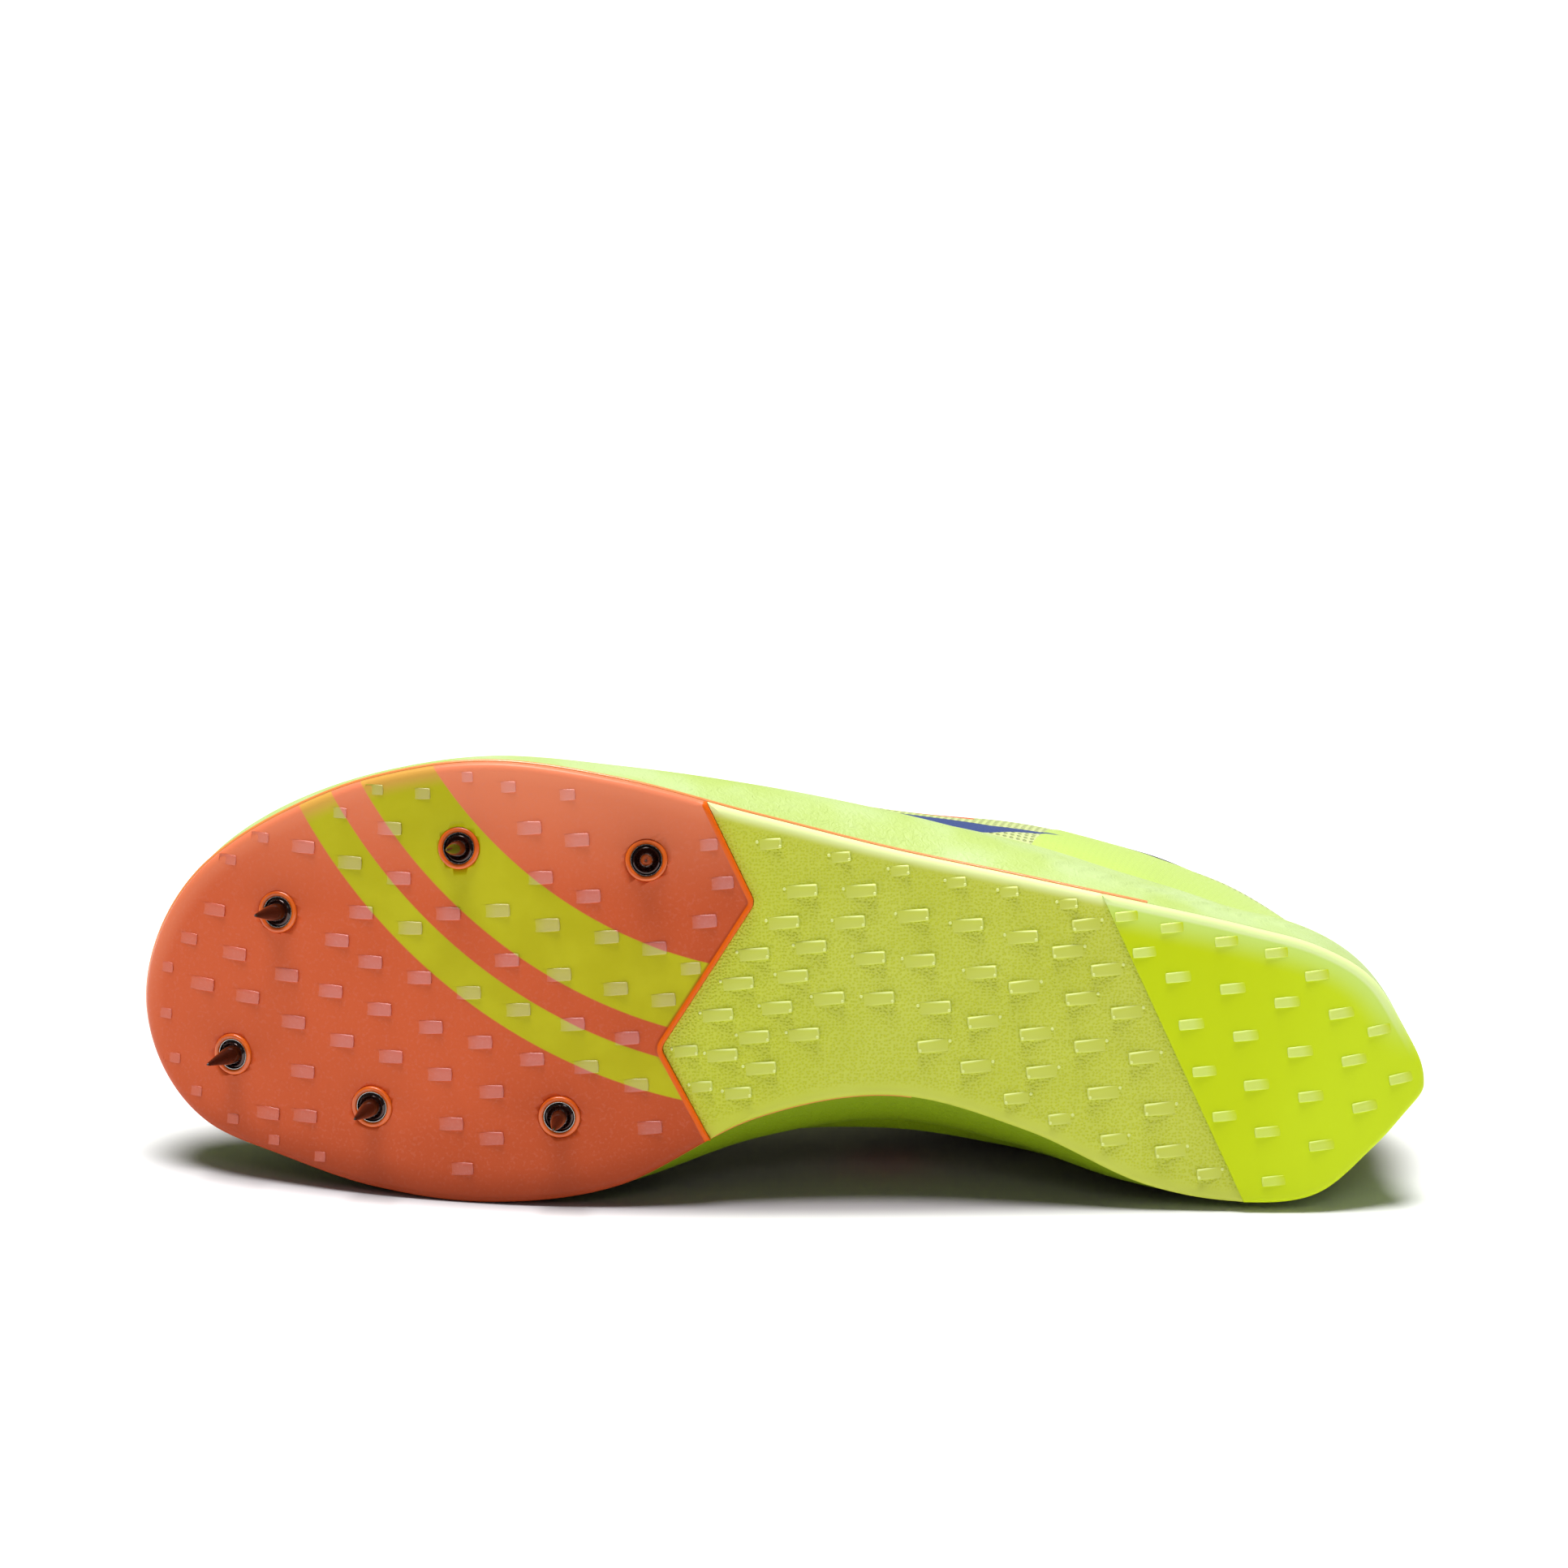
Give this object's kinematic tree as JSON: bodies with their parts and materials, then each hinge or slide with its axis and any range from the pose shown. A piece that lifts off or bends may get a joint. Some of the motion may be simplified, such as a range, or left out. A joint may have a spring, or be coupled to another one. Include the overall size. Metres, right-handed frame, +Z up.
{
  "type": "cross country spike",
  "caption": "Left cross country running shoe lying on its inner side, with a hollow upper, laces, a foam midsole, a lugged outsole and screw-in spikes under the forefoot.",
  "frame": {"origin": "middle of the bounding box, on the floor that the shoe lies on", "axes": "+X from toe to heel, +Y from the sole face towards the collar opening, +Z up, from the inner side of the foot to the outer side"},
  "size_m": [0.285, 0.1054, 0.0977],
  "materials": {
    "foam": "matt crinkled foam",
    "plate": "satin moulded plastic",
    "forefoot": "clear glossy rubber over a print",
    "pad": "pebbled foam",
    "heel": "clear glossy rubber",
    "cup": "turned steel",
    "pin": "dark polished steel",
    "upper": "knitted mesh",
    "tongue": "padded knit",
    "lining": "brushed cloth",
    "lace": "flat woven lace"
  },
  "bodies": {
    "root": {"midsole": "foam", "plate": "plate", "forefoot_outsole": "forefoot", "midfoot_pad": "pad", "heel_outsole": "heel", "socket_1": "cup", "socket_2": "cup", "socket_3": "cup", "socket_4": "cup", "socket_5": "cup", "socket_6": "cup", "spike_1": "pin", "spike_2": "pin", "spike_3": "pin", "spike_4": "pin", "spike_5": "pin", "spike_6": "pin", "upper": "upper", "tongue": "tongue", "insole": "lining", "lace_bar": "lace", "lace_crossings": "lace"}
  },
  "joints": []
}
